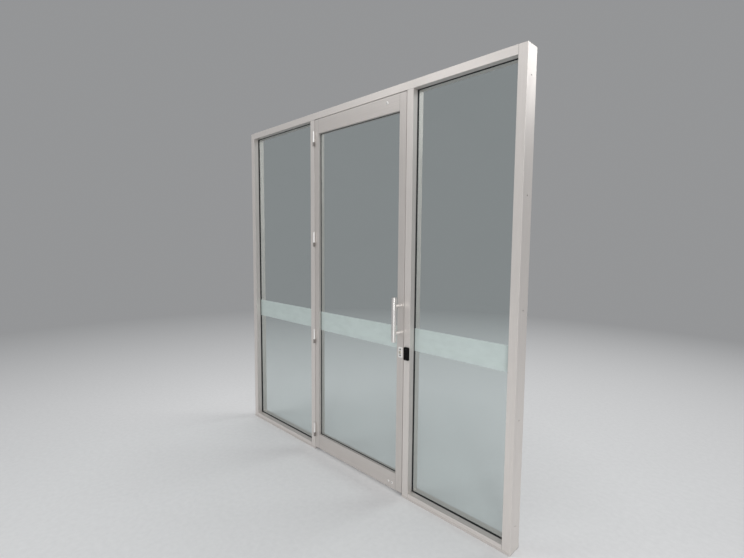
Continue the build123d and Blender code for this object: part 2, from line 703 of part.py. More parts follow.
def hinge_pin(middle):
    """The pin, with a domed cap above the top knuckle and one below the lowest."""
    low = (HINGE_AXIS_X, HINGE_AXIS_Y, middle - HINGE_LENGTH / 2)
    high = (HINGE_AXIS_X, HINGE_AXIS_Y, middle + HINGE_LENGTH / 2)
    pin = rod(PIN_R, low, high) + domed_head(PIN_CAP_R, PIN_CAP, high, (0, 0, 1))
    return pin + domed_head(PIN_CAP_R, PIN_CAP, low, (0, 0, -1))


# Pull handle

def handle_bar(radius, low, high):
    """A round bar on the grip's axis."""
    return rod(radius, (HANDLE_X, -GRIP_PROJECTION, low), (HANDLE_X, -GRIP_PROJECTION, high))


def handle_grip():
    """A straight tube."""
    tube = handle_bar(GRIP_R, GRIP_LOW, GRIP_HIGH)
    return tube - handle_bar(GRIP_R - GRIP_WALL, GRIP_LOW - WALL, GRIP_HIGH + WALL)


def handle_caps():
    """A plug in each end of the grip, with a bevelled flange."""
    inner = GRIP_R - GRIP_WALL
    low = handle_bar(GRIP_R, GRIP_LOW - GRIP_CAP, GRIP_LOW)
    high = handle_bar(GRIP_R, GRIP_HIGH, GRIP_HIGH + GRIP_CAP)
    low = chamfer(low.faces().sort_by(Axis.Z)[0].edges(), BEVEL)
    high = chamfer(high.faces().sort_by(Axis.Z)[-1].edges(), BEVEL)
    low += handle_bar(inner, GRIP_LOW, GRIP_LOW + GRIP_PLUG)
    high += handle_bar(inner, GRIP_HIGH - GRIP_PLUG, GRIP_HIGH)
    return group([low, high])


def handle_posts():
    """Round posts, hollowed at the front to the grip's curve and tapped from the rear."""
    saddle = handle_bar(GRIP_R, GRIP_LOW, GRIP_HIGH)
    posts = []
    for z in POST_HEIGHTS:
        post = rod(POST_R, (HANDLE_X, -GRIP_PROJECTION, z), (HANDLE_X, 0, z)) - saddle
        posts.append(drill(post, HANDLE_BOLT_R, [(HANDLE_X, -POST_TAPPED, z)], (0, 2 * POST_TAPPED, 0)))
    return group(posts)


def handle_bolts():
    """Bolts through the stile from the rear, with domed heads."""
    bolts = []
    for z in POST_HEIGHTS:
        rear = (HANDLE_X, LEAF_DEPTH, z)
        bolt = rod(HANDLE_BOLT_R, (HANDLE_X, -POST_TAPPED, z), rear)
        bolts.append(bolt + domed_head(HANDLE_BOLT_HEAD_R, HANDLE_BOLT_HEAD, rear, (0, 1, 0)))
    return group(bolts)


# Lock

def faceplate_blank():
    """The faceplate before it is cut for the bolt and the screws."""
    half = FACEPLATE_WIDTH / 2
    return box((LEAF_RIGHT - FACEPLATE, BOLT_Y - half, FACEPLATE_LOW),
               (LEAF_RIGHT, BOLT_Y + half, FACEPLATE_HIGH))


def bolt_channel():
    """Room for the bolt through case and faceplate."""
    half_y = BOLT_THICK / 2 + BOLT_PLAY
    half_z = BOLT_HEIGHT / 2 + BOLT_PLAY
    return box((CASE_REAR + CASE_BACK, BOLT_Y - half_y, BOLT_Z - half_z),
               (LEAF_RIGHT + WALL, BOLT_Y + half_y, BOLT_Z + half_z))


def lock_case():
    """A case in the stile's tube, with a lug above and below that bears on the stile's wall."""
    half = CASE_DEPTH / 2
    front = LEAF_RIGHT - FACEPLATE
    case = box((CASE_REAR, BOLT_Y - half, CASE_MIDDLE - CASE_HEIGHT / 2),
               (front, BOLT_Y + half, CASE_MIDDLE + CASE_HEIGHT / 2))
    case += box((front - LUG, BOLT_Y - LUG_WIDTH / 2, CASE_MIDDLE - LUG_HEIGHT / 2),
                (front, BOLT_Y + LUG_WIDTH / 2, CASE_MIDDLE + LUG_HEIGHT / 2))
    case -= bolt_channel()
    through = (0, LEAF_DEPTH, 0)
    case = drill(case, PLUG_R + BOLT_PLAY, [(LOCK_X, 0, LOCK_Z)], through)
    case = drill(case, ESCUTCHEON_SHANK_R, [(LOCK_X, 0, z) for z in PLATE_SCREW_HEIGHTS], through)
    for screw in faceplate_screws():
        case -= screw
    return case


def faceplate_screws():
    """Countersunk screws through the faceplate into the case's lugs."""
    return [countersunk_screw((LEAF_RIGHT, BOLT_Y, z), (-1, 0, 0), FACEPLATE - EDGE, FACEPLATE + LUG)
            for z in FACEPLATE_SCREW_HEIGHTS]


def lock_faceplate():
    plate = faceplate_blank() - bolt_channel()
    for screw in faceplate_screws():
        plate -= screw
    return plate


def lock_bolt():
    """A dead bolt with a bevelled tip, drawn back into the faceplate."""
    bolt = box((CASE_REAR + CASE_BACK + BOLT_PLAY, BOLT_Y - BOLT_THICK / 2, BOLT_Z - BOLT_HEIGHT / 2),
               (LEAF_RIGHT - BOLT_PLAY, BOLT_Y + BOLT_THICK / 2, BOLT_Z + BOLT_HEIGHT / 2))
    return chamfer(bolt.faces().sort_by(Axis.X)[-1].edges(), BEVEL)


def key_cylinder():
    """The fixed housing round the key plug."""
    y0 = -ESCUTCHEON_DEPTH - CYLINDER_PROUD
    body = rod(CYLINDER_R, (LOCK_X, y0, LOCK_Z), (LOCK_X, BOLT_Y - CASE_DEPTH / 2, LOCK_Z))
    body = chamfer(body.faces().sort_by(Axis.Y)[0].edges(), BEVEL)
    return drill(body, PLUG_R + PIN_PLAY, [(LOCK_X, y0 - WALL, LOCK_Z)], (0, LEAF_DEPTH, 0))


def key_plug():
    """The plug with its keyway, reaching to the middle of the case."""
    y0 = -ESCUTCHEON_DEPTH - CYLINDER_PROUD - BOLT_PLAY
    plug = rod(PLUG_R, (LOCK_X, y0, LOCK_Z), (LOCK_X, BOLT_Y - SLOT_ROOM, LOCK_Z))
    return plug - box((LOCK_X - KEYWAY_WIDTH / 2, y0 - WALL, LOCK_Z - KEYWAY_HEIGHT / 2),
                      (LOCK_X + KEYWAY_WIDTH / 2, y0 + KEYWAY_DEEP, LOCK_Z + KEYWAY_HEIGHT / 2))


def thumb_turn():
    """A spindle with a flat knob behind the leaf."""
    rear = LEAF_DEPTH + ESCUTCHEON_DEPTH + CYLINDER_PROUD + BOLT_PLAY
    spindle = rod(PLUG_R, (LOCK_X, BOLT_Y + SLOT_ROOM, LOCK_Z), (LOCK_X, rear + BEVEL, LOCK_Z))
    plane = Plane(origin=(LOCK_X, rear, LOCK_Z), x_dir=(0, 0, 1), z_dir=(0, 1, 0))
    knob = extrude(plane * SlotOverall(KNOB_LENGTH, KNOB_WIDTH), amount=KNOB_DEPTH)
    return spindle + chamfer(knob.faces().sort_by(Axis.Y)[-1].edges(), BEVEL)


def escutcheon(width, y0, outer):
    """A plate with rounded corners and a bevelled outer face, drilled for its screws."""
    outline = Plane.XZ * Pos(LOCK_X, LOCK_Z) * RectangleRounded(width, ESCUTCHEON_HEIGHT, ESCUTCHEON_ROUND)
    plate = extrude(Pos(0, y0, 0) * outline, amount=-ESCUTCHEON_DEPTH)
    plate = chamfer(plate.faces().sort_by(Axis.Y)[outer].edges(), BEVEL)
    return drill(plate, ESCUTCHEON_SHANK_R, [(LOCK_X, y0 - WALL, z) for z in PLATE_SCREW_HEIGHTS],
                 (0, ESCUTCHEON_DEPTH + 2 * WALL, 0))


def front_escutcheon():
    plate = escutcheon(ESCUTCHEON_WIDTH, -ESCUTCHEON_DEPTH, 0)
    return drill(plate, CYLINDER_R, [(LOCK_X, -LEAF_DEPTH, LOCK_Z)], (0, 2 * LEAF_DEPTH, 0))


def rear_escutcheon():
    """The rear plate carries a collar that guides the thumb turn."""
    plate = escutcheon(REAR_PLATE_WIDTH, LEAF_DEPTH, -1)
    plate += rod(COLLAR_R, (LOCK_X, LEAF_DEPTH, LOCK_Z),
                 (LOCK_X, LEAF_DEPTH + ESCUTCHEON_DEPTH + CYLINDER_PROUD, LOCK_Z))
    return drill(plate, PLUG_R + PIN_PLAY, [(LOCK_X, 0, LOCK_Z)], (0, 2 * LEAF_DEPTH, 0))


def escutcheon_screws():
    """Long screws that clamp both plates, domed at both ends."""
    front = -ESCUTCHEON_DEPTH
    rear = LEAF_DEPTH + ESCUTCHEON_DEPTH
    screws = []
    for z in PLATE_SCREW_HEIGHTS:
        screw = rod(ESCUTCHEON_SHANK_R, (LOCK_X, front, z), (LOCK_X, rear, z))
        screw += domed_head(ESCUTCHEON_HEAD_R, ESCUTCHEON_HEAD, (LOCK_X, front, z), (0, -1, 0))
        screws.append(screw + domed_head(ESCUTCHEON_HEAD_R, ESCUTCHEON_HEAD, (LOCK_X, rear, z), (0, 1, 0)))
    return screws


def strike_screws():
    return [countersunk_screw((DOOR_RIGHT - STRIKE, BOLT_Y, z), (1, 0, 0), STRIKE - BOLT_PLAY, SCREW_TAIL)
            for z in STRIKE_SCREW_HEIGHTS]


def strike_plate():
    """A flat plate on the lock mullion, slotted for the bolt."""
    face = Plane(origin=(DOOR_RIGHT - STRIKE, BOLT_Y, BOLT_Z), x_dir=(0, 1, 0), z_dir=(1, 0, 0))
    outline = RectangleRounded(STRIKE_WIDTH, STRIKE_HEIGHT, STRIKE_ROUND)
    slot = RectangleRounded(BOLT_THICK + 2 * SLOT_ROOM, BOLT_HEIGHT + 2 * SLOT_ROOM, SLOT_ROOM)
    plate = extrude(face * (outline - slot), amount=STRIKE)
    for screw in strike_screws():
        plate -= screw
    return plate


# Reader

def reader_outline(inset, corner):
    """The reader's rounded outline, smaller by an inset on each side."""
    outline = RectangleRounded(READER_WIDTH - 2 * inset, READER_HEIGHT - 2 * inset, corner)
    return Plane.XZ * Pos(READER_X, READER_Z) * outline


def reader_base():
    plate = extrude(reader_outline(READER_WALL, READER_ROUND - READER_WALL), amount=READER_BASE)
    screws = [(READER_X, -2 * READER_BASE, z) for z in READER_SCREW_HEIGHTS]
    return drill(plate, SCREW_R, screws, (0, 3 * READER_BASE, 0))


def reader_cover():
    """A lid with rounded corners and a soft front edge, hollow behind."""
    lid = extrude(reader_outline(0, READER_ROUND), amount=READER_DEPTH)
    lid = fillet(lid.faces().sort_by(Axis.Y)[0].edges(), READER_WALL)
    inside = reader_outline(READER_WALL, READER_ROUND - READER_WALL)
    return lid - extrude(inside, amount=READER_DEPTH - READER_LID)


def reader_screws():
    screws = []
    for z in READER_SCREW_HEIGHTS:
        front = (READER_X, -READER_BASE, z)
        screw = rod(SCREW_R, front, (READER_X, SCREW_TAIL, z))
        screws.append(screw + domed_head(READER_SCREW_HEAD_R, READER_BASE, front, (0, -1, 0)))
    return screws


# Build

def build_frame():
    save("left_jamb", left_jamb())
    save("right_jamb", right_jamb())
    save("hinge_mullion", hinge_mullion())
    save("lock_mullion", lock_mullion())
    save("head", head())
    save("left_sill", sill(LEFT_PANE_LEFT, LEFT_PANE_RIGHT))
    save("right_sill", sill(RIGHT_PANE_LEFT, RIGHT_PANE_RIGHT))
    save("left_subsill", left_subsill())
    save("right_subsill", right_subsill())
    save("head_filler", head_filler())
    for name, length in zip(("hinge_stop", "head_stop", "lock_stop"), round_doorway(stop_section())):
        save(name, length)
    save("stop_seals", group(round_doorway(seal_section())))


def build_side_lights():
    save("left_glass", pane(LEFT_PANE_LEFT, SILL_TOP, LEFT_PANE_RIGHT, HEAD_UNDER, GLASS_Y))
    save("right_glass", pane(RIGHT_PANE_LEFT, SILL_TOP, RIGHT_PANE_RIGHT, HEAD_UNDER, GLASS_Y))
    save("light_front_gaskets", light_gaskets(-1))
    save("light_rear_gaskets", light_gaskets(1))
    floor = SILL_TOP - SILL_POCKET
    top = SILL_TOP - GLASS_COVER
    blocks = setting_blocks(LEFT_PANE_LEFT, LEFT_PANE_RIGHT, GLASS_Y, floor, top, FRAME_BLOCK)
    blocks += setting_blocks(RIGHT_PANE_LEFT, RIGHT_PANE_RIGHT, GLASS_Y, floor, top, FRAME_BLOCK)
    save("light_setting_blocks", group(blocks))
    front = GLASS_Y - GLASS / 2
    save("side_light_films", group([film(LEFT_PANE_LEFT, LEFT_PANE_RIGHT, front),
                                    film(RIGHT_PANE_LEFT, RIGHT_PANE_RIGHT, front)]))


def build_leaf():
    save("hinge_stile", hinge_stile())
    save("lock_stile", lock_stile())
    save("top_rail", rail_with_bolts(TOP_RAIL, LEAF_TOP, False, [TOP_BOLT]))
    save("bottom_rail", rail_with_bolts(BOTTOM_RAIL, FLOOR_GAP, True, LOW_BOLTS))
    save("rail_tie_rods", group([tie_rod(z) for z in TIE_HEIGHTS]))
    save("corner_spigots", corner_spigots())
    save("leaf_glass", pane(LIGHT_LEFT, LIGHT_LOW, LIGHT_RIGHT, LIGHT_HIGH, LEAF_GLASS_Y))
    save("leaf_front_gaskets", leaf_gaskets(-1))
    save("leaf_rear_gaskets", leaf_gaskets(1))
    save("leaf_beads", leaf_beads())
    save("leaf_setting_blocks", group(setting_blocks(
        LIGHT_LEFT, LIGHT_RIGHT, LEAF_GLASS_Y, LIGHT_LOW - REBATE, LIGHT_LOW - GLASS_COVER, LEAF_BLOCK)))
    save("leaf_film", film(LIGHT_LEFT, LIGHT_RIGHT, LEAF_GLASS_Y - GLASS / 2))
    low = [rail_bolt(place, LOW_BOLT_HEAD_R) for place in LOW_BOLTS]
    save("rail_bolts", group([rail_bolt(TOP_BOLT, TOP_BOLT_HEAD_R)] + low))


def build_hinges():
    for number, middle in enumerate(HINGE_HEIGHTS, start=1):
        save(f"hinge_{number}_frame_leaf", hinge_leaf(middle, -1))
        save(f"hinge_{number}_door_leaf", hinge_leaf(middle, 1))
    save("hinge_pins", group([hinge_pin(middle) for middle in HINGE_HEIGHTS]))
    save("leaf_hinge_screws", group(hinge_screws(1)))
    save("frame_screws", group(hinge_screws(-1) + strike_screws() + reader_screws()))


def build_hardware():
    save("handle_grip", handle_grip())
    save("handle_caps", handle_caps())
    save("handle_posts", handle_posts())
    save("handle_bolts", handle_bolts())
    save("lock_case", lock_case())
    save("lock_faceplate", lock_faceplate())
    save("lock_bolt", lock_bolt())
    save("key_cylinder", key_cylinder())
    save("key_plug", key_plug())
    save("thumb_turn", thumb_turn())
    save("front_escutcheon", front_escutcheon())
    save("rear_escutcheon", rear_escutcheon())
    save("lock_screws", group(escutcheon_screws() + faceplate_screws()))
    save("strike_plate", strike_plate())
    save("reader_base", reader_base())
    save("reader_cover", reader_cover())


build_frame()
build_side_lights()
build_leaf()
build_hinges()
build_hardware()
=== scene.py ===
import math

import bmesh
import bpy
from mathutils import Matrix, Vector


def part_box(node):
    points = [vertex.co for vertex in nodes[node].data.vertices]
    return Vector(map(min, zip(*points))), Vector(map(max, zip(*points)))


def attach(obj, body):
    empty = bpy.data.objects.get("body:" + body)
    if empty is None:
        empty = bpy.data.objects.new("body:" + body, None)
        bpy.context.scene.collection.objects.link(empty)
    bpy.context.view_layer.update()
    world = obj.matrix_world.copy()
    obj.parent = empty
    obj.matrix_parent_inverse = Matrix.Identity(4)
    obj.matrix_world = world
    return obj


# Looks of the framed glass door, in metres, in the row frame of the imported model:
# the front faces -Y, +X is to the right seen from the front, and z = 0 is the floor.

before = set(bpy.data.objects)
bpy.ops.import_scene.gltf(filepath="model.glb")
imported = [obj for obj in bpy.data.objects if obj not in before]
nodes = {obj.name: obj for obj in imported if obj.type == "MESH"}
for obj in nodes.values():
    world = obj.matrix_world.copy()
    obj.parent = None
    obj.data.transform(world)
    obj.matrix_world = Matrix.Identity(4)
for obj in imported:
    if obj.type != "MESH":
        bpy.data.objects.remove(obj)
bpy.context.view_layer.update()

X_AXIS, Y_AXIS, Z_AXIS = 0, 1, 2

# Colours, all linear
ALUMINIUM = (0.690, 0.650, 0.618)
# The frame's aluminium painted darker for the leaf, as painted shade
LEAF_ALUMINIUM_SHADED = (0.590, 0.553, 0.524)
MILL_ALUMINIUM = (0.620, 0.620, 0.620)
STEEL = (0.660, 0.645, 0.620)
BRIGHT_STEEL = (0.820, 0.805, 0.785)
GRIP_STEEL = (0.780, 0.755, 0.730)
NICKEL = (0.640, 0.600, 0.520)
SCREW_BLACK = (0.010, 0.010, 0.009)
# Painted shade for the hollows of screw recesses, laid on the heads as thin dark sheets
RECESS_SHADE = (0.020, 0.019, 0.018)
GLASS = (0.740, 0.800, 0.795)
FILM = (0.740, 0.840, 0.810)
FILM_GLOW = (0.820, 0.900, 0.870)
RUBBER = (0.018, 0.018, 0.019)
BLOCK_PLASTIC = (0.060, 0.060, 0.065)
# Colour of the painted shadow line in the joints between lengths
JOINT_SHADOW = (0.030, 0.030, 0.032)
BLACK_GLOSS = (0.004, 0.004, 0.004)
SLEEVE = (0.170, 0.155, 0.140)
SMOKED = (0.020, 0.020, 0.024)
BACKDROP = (0.298, 0.302, 0.308)
FLOOR = (0.70, 0.70, 0.70)
FLOOR_LOW = (0.69, 0.69, 0.69)
FLOOR_HIGH = (0.73, 0.73, 0.73)

# The share of light that the film's front face scatters, and the panes' index of refraction
FILM_COVER = 0.68
GLASS_INDEX = 1.5

# The painted shadow line where a length ends, in place of the shade in the hairline joint: how far it
# starts and is full before the end, and fades out past it
JOINT_START = 0.0014
JOINT_FULL = 0.0006
JOINT_PAST = 0.0002
JOINT_GONE = 0.0008
JOINT_SHARE = 0.75

# A rail's tube runs on this far into the stiles' rebates, past the joints that show in front
RAIL_OVERLAP = 0.016

# Places as the part's source draws them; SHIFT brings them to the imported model's frame
SHIFT = Vector((0.0905, -0.012, 0.0))
HINGE_AXIS = (-0.4705, -0.0085)
HINGE_HEIGHTS = [0.168 + 2.333 / 3 * number for number in range(4)]
HINGE_SCREW_STEPS = (-0.040, 0.0, 0.040)
HINGE_SCREW_Y = 0.0165
HINGE_FACE_GAP = 0.0001
KNUCKLE_R = 0.008
LOW_KNUCKLE = (-0.057, -0.0239)
LOCK_PLACE = (0.445, 0.983)
BOLT_HEIGHT = 0.944
STRIKE_X = 0.4715
STRIKE_STEPS = (-0.043, 0.043)
FACEPLATE_X = 0.469
FACEPLATE_STEPS = (-0.075, 0.075)
EDGE_SCREW_Y = 0.025
PLATE_STEPS = (-0.020, 0.020)
PLATE_FRONT_CROWN = -0.0066
PLATE_REAR_CROWN = 0.0566
LOW_BOLTS = ((0.350, -0.004, 0.060), (0.382, -0.004, 0.060))
TOP_BOLT = (0.304, -0.005, 2.607)
HANDLE_BOLT = (0.441, 0.055, 1.206)
HANDLE_BOLT_STEPS = (-0.089, 0.089)
READER_PLACE = (0.500, -0.010, 0.983)

# Which way a screw head faces
FRONT = (0, -1, 0)
REAR = (0, 1, 0)
LEFT = (-1, 0, 0)
RIGHT = (1, 0, 0)

# Recesses in screw heads, drawn as thin dark sheets of painted shade on the heads: a cross is its arms'
# reach and half their width, a hexagon is its corner radius
SMALL_CROSS = (0.0021, 0.00055)
WIDE_CROSS = (0.0027, 0.00065)
SMALL_HEX = 0.0028
LARGE_HEX = 0.0035
ARM_TAPER = 0.6
RECESS_LIFT = 0.00004
RECESS_DEPTH = 0.00025
WELD = 0.00002

# Radius of the dome on each kind of head; FLAT is a dome too wide to show
FLAT = 1.0
PLATE_DOME = 0.0082
LOW_BOLT_DOME = 0.0136
TOP_BOLT_DOME = 0.0170
HANDLE_BOLT_DOME = 0.0141

# Sleeve round the lowest knuckle: its rings, each proud of the knuckle and in from its ends, and its wall.
# It is open at the rear, so it turns this many degrees to each side of the front, in steps.
SLEEVE_RINGS = ((0.00010, 0.0003), (0.00022, 0.0009))
SLEEVE_WALL = 0.00015
SLEEVE_HALF_TURN = 140
SLEEVE_STEP = 7

# Window of the reader: its rise above the reader's middle, half the distance between its round ends, their
# radius, how far its back is sunk, its thickness and the bevel of its edge
LENS_RISE = 0.030
LENS_HALF = 0.0035
LENS_R = 0.0018
LENS_SUNK = 0.0004
LENS_THICK = 0.0009
LENS_EDGE = 0.0003

# Stage
BACKDROP_LIGHT = 1.9
FLOOR_RADIUS = 40.0
FLOOR_DROP = 0.001
FLOOR_FADE = (2.0, 8.0)
LAMPS = (
    # name, place, target, size, power in watts
    ("key", (5.6, -5.8, 2.9), (0.0, 0.0, 1.3), (2.4, 5.0), 330.0),
    ("fill", (-4.0, -5.0, 7.5), (0.0, 0.0, 1.2), (4.0, 4.0), 140.0),
    ("rear", (3.0, 6.5, 6.5), (0.0, 0.0, 1.2), (4.0, 4.0), 200.0),
)

# Camera: place in metres, angles in degrees, lens and sensor in millimetres
CAMERA_PLACE = (2.367206, -2.114061, 1.697895)
CAMERA_YAW = 45.0
CAMERA_PITCH = 4.764
CAMERA_ROLL = -0.428
CAMERA_LENS = 20.79
CAMERA_SENSOR = 36.0


# Material kit

class Paint:
    """A node material with short ways to add nodes. It starts with one Principled shader as its surface."""

    def __init__(self, name, colour, metallic=0.0, roughness=0.5):
        self.material = bpy.data.materials.new(name)
        self.material.use_nodes = True
        self.tree = self.material.node_tree
        self.tree.nodes.clear()
        self.output = self.add("ShaderNodeOutputMaterial")
        self.shader = self.add("ShaderNodeBsdfPrincipled")
        self.surface(self.shader.outputs["BSDF"])
        self.set("Base Color", (*colour, 1.0))
        self.set("Metallic", metallic)
        self.set("Roughness", roughness)
        self.place = self.add("ShaderNodeTexCoord").outputs["Object"]

    def add(self, kind, **values):
        node = self.tree.nodes.new(kind)
        for key, value in values.items():
            setattr(node, key, value)
        return node

    def join(self, source, target):
        self.tree.links.new(source, target)

    def surface(self, shader):
        self.join(shader, self.output.inputs["Surface"])

    def set(self, socket, value):
        self.shader.inputs[socket].default_value = value

    def feed(self, socket, source):
        self.join(source, self.shader.inputs[socket])

    def give(self, target, value):
        """Feeds a socket from another one or from a number."""
        if isinstance(value, (int, float)):
            target.default_value = value
        else:
            self.join(value, target)

    def noise(self, scale, shift=0.0, detail=3.0, rough=0.55):
        """Noise between 0 and 1, stretched by a scale per axis."""
        mapping = self.add("ShaderNodeMapping")
        mapping.inputs["Scale"].default_value = scale
        mapping.inputs["Location"].default_value = (shift, shift * 0.7, shift * 1.3)
        self.join(self.place, mapping.inputs["Vector"])
        texture = self.add("ShaderNodeTexNoise")
        texture.inputs["Scale"].default_value = 1.0
        texture.inputs["Detail"].default_value = detail
        texture.inputs["Roughness"].default_value = rough
        self.join(mapping.outputs["Vector"], texture.inputs["Vector"])
        return texture.outputs["Fac"]

    def ranged(self, source, low, high, to_low, to_high):
        """Maps low..high to the new range and clamps it."""
        node = self.add("ShaderNodeMapRange")
        self.join(source, node.inputs["Value"])
        limits = {"From Min": low, "From Max": high, "To Min": to_low, "To Max": to_high}
        for socket, value in limits.items():
            node.inputs[socket].default_value = value
        return node.outputs["Result"]

    def maths(self, operation, a, b):
        """One maths node; a and b are sockets or numbers."""
        node = self.add("ShaderNodeMath", operation=operation)
        self.give(node.inputs[0], a)
        self.give(node.inputs[1], b)
        return node.outputs[0]

    def mix(self, factor, a, b):
        """Blends two colours, each a socket or a tuple. Sockets 6 and 7 are the A and B of a colour mix."""
        node = self.add("ShaderNodeMix", data_type="RGBA")
        self.give(node.inputs[0], factor)
        for index, value in ((6, a), (7, b)):
            if isinstance(value, tuple):
                node.inputs[index].default_value = (*value, 1.0)
            else:
                self.join(value, node.inputs[index])
        return node.outputs[2]

    def blend(self, factor, a, b):
        """Blends two shaders; the factor is a socket or a number."""
        node = self.add("ShaderNodeMixShader")
        self.give(node.inputs[0], factor)
        self.join(a, node.inputs[1])
        self.join(b, node.inputs[2])
        return node.outputs["Shader"]

    def bump(self, height, strength, distance):
        node = self.add("ShaderNodeBump")
        node.inputs["Strength"].default_value = strength
        node.inputs["Distance"].default_value = distance
        self.join(height, node.inputs["Height"])
        self.feed("Normal", node.outputs["Normal"])

    def axis(self, index):
        """One coordinate of the place on the surface."""
        node = self.add("ShaderNodeSeparateXYZ")
        self.join(self.place, node.inputs[0])
        return node.outputs[index]


def shade(colour, share):
    """A colour made darker, or lighter with a share above 1."""
    return tuple(value * share for value in colour)


def along(axis, fine, run):
    """Noise scale per axis for lines that run along one axis."""
    return tuple(run if index == axis else fine for index in range(3))


def streaked(name, colour, axis, seed=0.0, roughness=0.40, metallic=0.55, ends=None):
    """Satin metal with drawn lines along one axis, cloudy patches, smudges and a painted shadow line at the
    joints at its ends.

    The seed moves the noise, so that no two lengths look the same.
    """
    paint = Paint(name, colour, metallic=metallic, roughness=roughness)
    lines = paint.noise(along(axis, fine=850.0, run=5.0), shift=seed, detail=4.0, rough=0.65)
    bands = paint.noise(along(axis, fine=60.0, run=1.1), shift=seed + 3.1, detail=2.0)
    clouds = paint.noise((3.0, 3.0, 3.0), shift=seed + 7.7, detail=5.0)
    tone = paint.mix(paint.ranged(lines, 0.30, 0.70, 0.0, 1.0), shade(colour, 0.90), shade(colour, 1.07))
    tone = paint.mix(paint.ranged(bands, 0.35, 0.65, 0.0, 0.35), tone, shade(colour, 0.93))
    smudge = paint.ranged(clouds, 0.52, 0.70, 0.0, 1.0)
    tone = paint.mix(paint.maths("MULTIPLY", smudge, 0.16), tone, shade(colour, 0.80))
    # Painted shade: a dark line at each end of the length, in place of the shadow in the joint
    if ends:
        middle, half = (ends[0] + ends[1]) / 2, (ends[1] - ends[0]) / 2
        reach = paint.maths("ABSOLUTE", paint.maths("SUBTRACT", paint.axis(axis), middle), 0.0)
        inner = paint.ranged(reach, half - JOINT_START, half - JOINT_FULL, 0.0, JOINT_SHARE)
        outer = paint.ranged(reach, half + JOINT_PAST, half + JOINT_GONE, 1.0, 0.0)
        tone = paint.mix(paint.maths("MULTIPLY", inner, outer), tone, JOINT_SHADOW)
    paint.feed("Base Color", tone)
    rough = paint.ranged(lines, 0.25, 0.75, roughness - 0.05, roughness + 0.07)
    paint.feed("Roughness", paint.maths("ADD", rough, paint.maths("MULTIPLY", smudge, 0.09)))
    paint.bump(lines, strength=0.18, distance=0.00006)
    return paint.material


def grained(name, colour, metallic, roughness, spread=0.10, scale=320.0, depth=0.00008, specular=0.5):
    """Cast, moulded or machined material with a fine even grain and soft patches."""
    paint = Paint(name, colour, metallic=metallic, roughness=roughness)
    paint.set("Specular IOR Level", specular)
    grain = paint.noise((scale,) * 3, detail=4.0)
    patches = paint.noise((scale / 18,) * 3, shift=5.0, detail=4.0)
    fleck = paint.ranged(grain, 0.30, 0.70, 0.0, 1.0)
    tone = paint.mix(fleck, shade(colour, 1 - spread), shade(colour, 1 + spread))
    tone = paint.mix(paint.ranged(patches, 0.45, 0.70, 0.0, 0.4), tone, shade(colour, 1 - 1.8 * spread))
    paint.feed("Base Color", tone)
    paint.feed("Roughness", paint.ranged(patches, 0.30, 0.70, roughness - 0.06, roughness + 0.08))
    paint.bump(grain, strength=0.25, distance=depth)
    return paint.material


def see_through(name, colour, roughness, smear):
    """Clear glass that lets light through its shadow; smear is the roughness that wiping marks add."""
    paint = Paint(name, colour, roughness=roughness)
    paint.set("Transmission Weight", 1.0)
    paint.set("IOR", GLASS_INDEX)
    wipes = paint.noise((1.6, 1.6, 5.0), detail=6.0, rough=0.6)
    dust = paint.noise((240.0, 240.0, 240.0), shift=2.0, detail=3.0)
    wiped = paint.ranged(wipes, 0.50, 0.72, 0.0, 1.0)
    marks = paint.maths("MULTIPLY", wiped, paint.ranged(dust, 0.35, 0.65, 0.4, 1.0))
    paint.feed("Roughness", paint.ranged(marks, 0.0, 1.0, roughness, roughness + smear))
    paint.feed("Base Color", paint.mix(paint.maths("MULTIPLY", marks, 0.25), colour, shade(colour, 0.93)))
    clear = paint.add("ShaderNodeBsdfTransparent")
    # A shadow ray meets two faces, so each one takes the root of the sheet's tint
    clear.inputs["Color"].default_value = (*(value ** 0.5 for value in colour), 1.0)
    shadow = paint.add("ShaderNodeLightPath").outputs["Is Shadow Ray"]
    paint.surface(paint.blend(shadow, paint.shader.outputs["BSDF"], clear.outputs["BSDF"]))
    return paint.material


def frosted(name, colour, depths):
    """Etched film: its front face scatters light back and through, and its face on the glass is clear.

    The depths are the y of the two faces, which tell them apart.
    """
    paint = Paint(name, colour, roughness=0.55)
    grain = paint.noise((1400.0, 1400.0, 1400.0), detail=2.0)
    blotches = paint.noise((9.0, 9.0, 22.0), shift=4.0, detail=5.0)
    tone = paint.mix(paint.ranged(grain, 0.3, 0.7, 0.0, 1.0), shade(colour, 0.90), shade(colour, 1.10))
    tone = paint.mix(paint.ranged(blotches, 0.40, 0.66, 0.0, 0.4), tone, shade(colour, 0.82))
    paint.feed("Base Color", tone)
    paint.feed("Roughness", paint.ranged(blotches, 0.3, 0.7, 0.48, 0.66))
    paint.bump(grain, strength=0.4, distance=0.00005)
    through = paint.add("ShaderNodeBsdfTranslucent")
    glow = paint.mix(paint.ranged(blotches, 0.40, 0.66, 0.0, 0.4), FILM_GLOW, shade(FILM_GLOW, 0.84))
    paint.join(glow, through.inputs["Color"])
    middle = sum(depths) / 2
    cover = paint.ranged(paint.axis(Y_AXIS), middle - 0.00005, middle + 0.00005, FILM_COVER, 0.0)
    clear = paint.add("ShaderNodeBsdfTransparent")
    scatter = paint.blend(0.5, paint.shader.outputs["BSDF"], through.outputs["BSDF"])
    paint.surface(paint.blend(cover, clear.outputs["BSDF"], scatter))
    return paint.material


# Materials on the CAD nodes

def dress(names, material):
    """Gives CAD nodes their material."""
    for name in names:
        for place in nodes[name].material_slots:
            place.material = material


def span(name, axis, inset=0.0):
    """Where a node starts and ends along an axis."""
    low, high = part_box(name)
    return low[axis] + inset, high[axis] - inset


def dress_length(name, colour, axis, seed, inset=0.0):
    """An anodised length with lines along it and a painted shadow line at the joints at its two ends."""
    dress([name], streaked("anodised_" + name, colour, axis, seed=seed, ends=span(name, axis, inset)))


